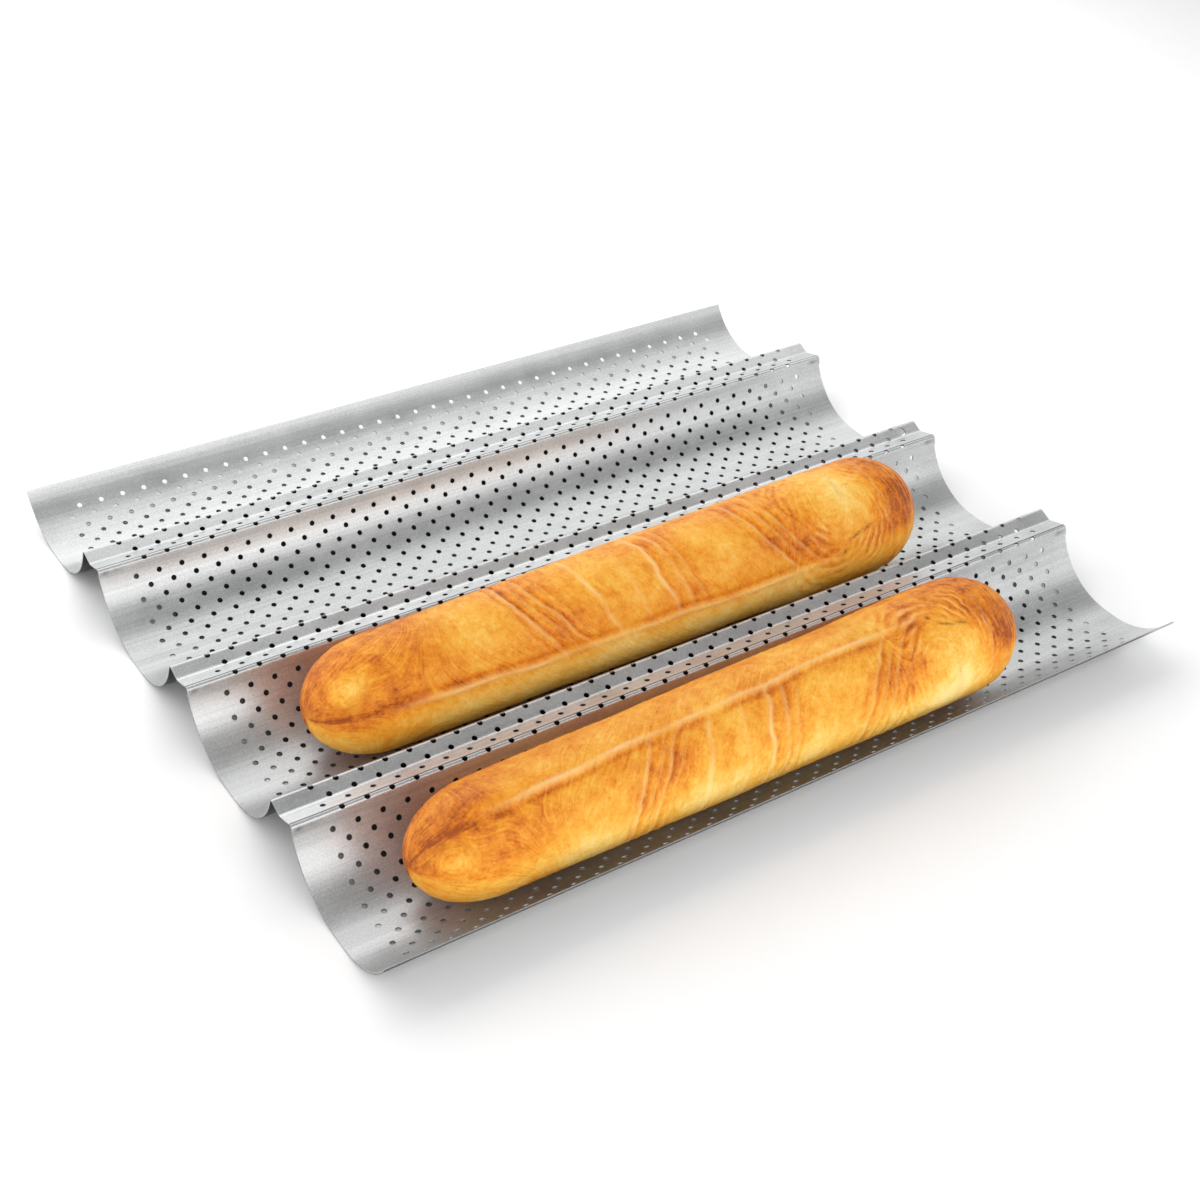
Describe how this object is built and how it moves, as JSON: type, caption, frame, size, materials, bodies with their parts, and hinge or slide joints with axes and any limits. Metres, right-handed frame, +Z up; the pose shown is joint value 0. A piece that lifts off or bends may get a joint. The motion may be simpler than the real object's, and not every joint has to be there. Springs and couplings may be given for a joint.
{
  "type": "baguettes on a perforated baking tray",
  "caption": "Baguettes resting in a perforated sheet-metal baking tray with long round channels, made for baking and cooling long loaves.",
  "frame": {"origin": "middle of the tray's footprint, on the surface that it stands on", "axes": "+X along the channels towards the end with the hanging hole, +Y towards the back channel, +Z up"},
  "size_m": [0.38, 0.3214, 0.054],
  "materials": {
    "tray_metal": "satin",
    "bread_crust": "satin"
  },
  "bodies": {
    "tray": {"channel_sheet_1": "tray_metal", "channel_sheet_2": "tray_metal", "channel_sheet_3": "tray_metal", "channel_sheet_4": "tray_metal"},
    "back_loaf": {"baguette_back": "bread_crust"},
    "front_loaf": {"baguette_front": "bread_crust"}
  },
  "joints": [
    {"name": "back_loaf_lift", "type": "slide", "parent": "tray", "child": "back_loaf", "axis": [0, 0, 1], "range_m": [0, 0.08]},
    {"name": "front_loaf_lift", "type": "slide", "parent": "tray", "child": "front_loaf", "axis": [0, 0, 1], "range_m": [0, 0.08]}
  ]
}
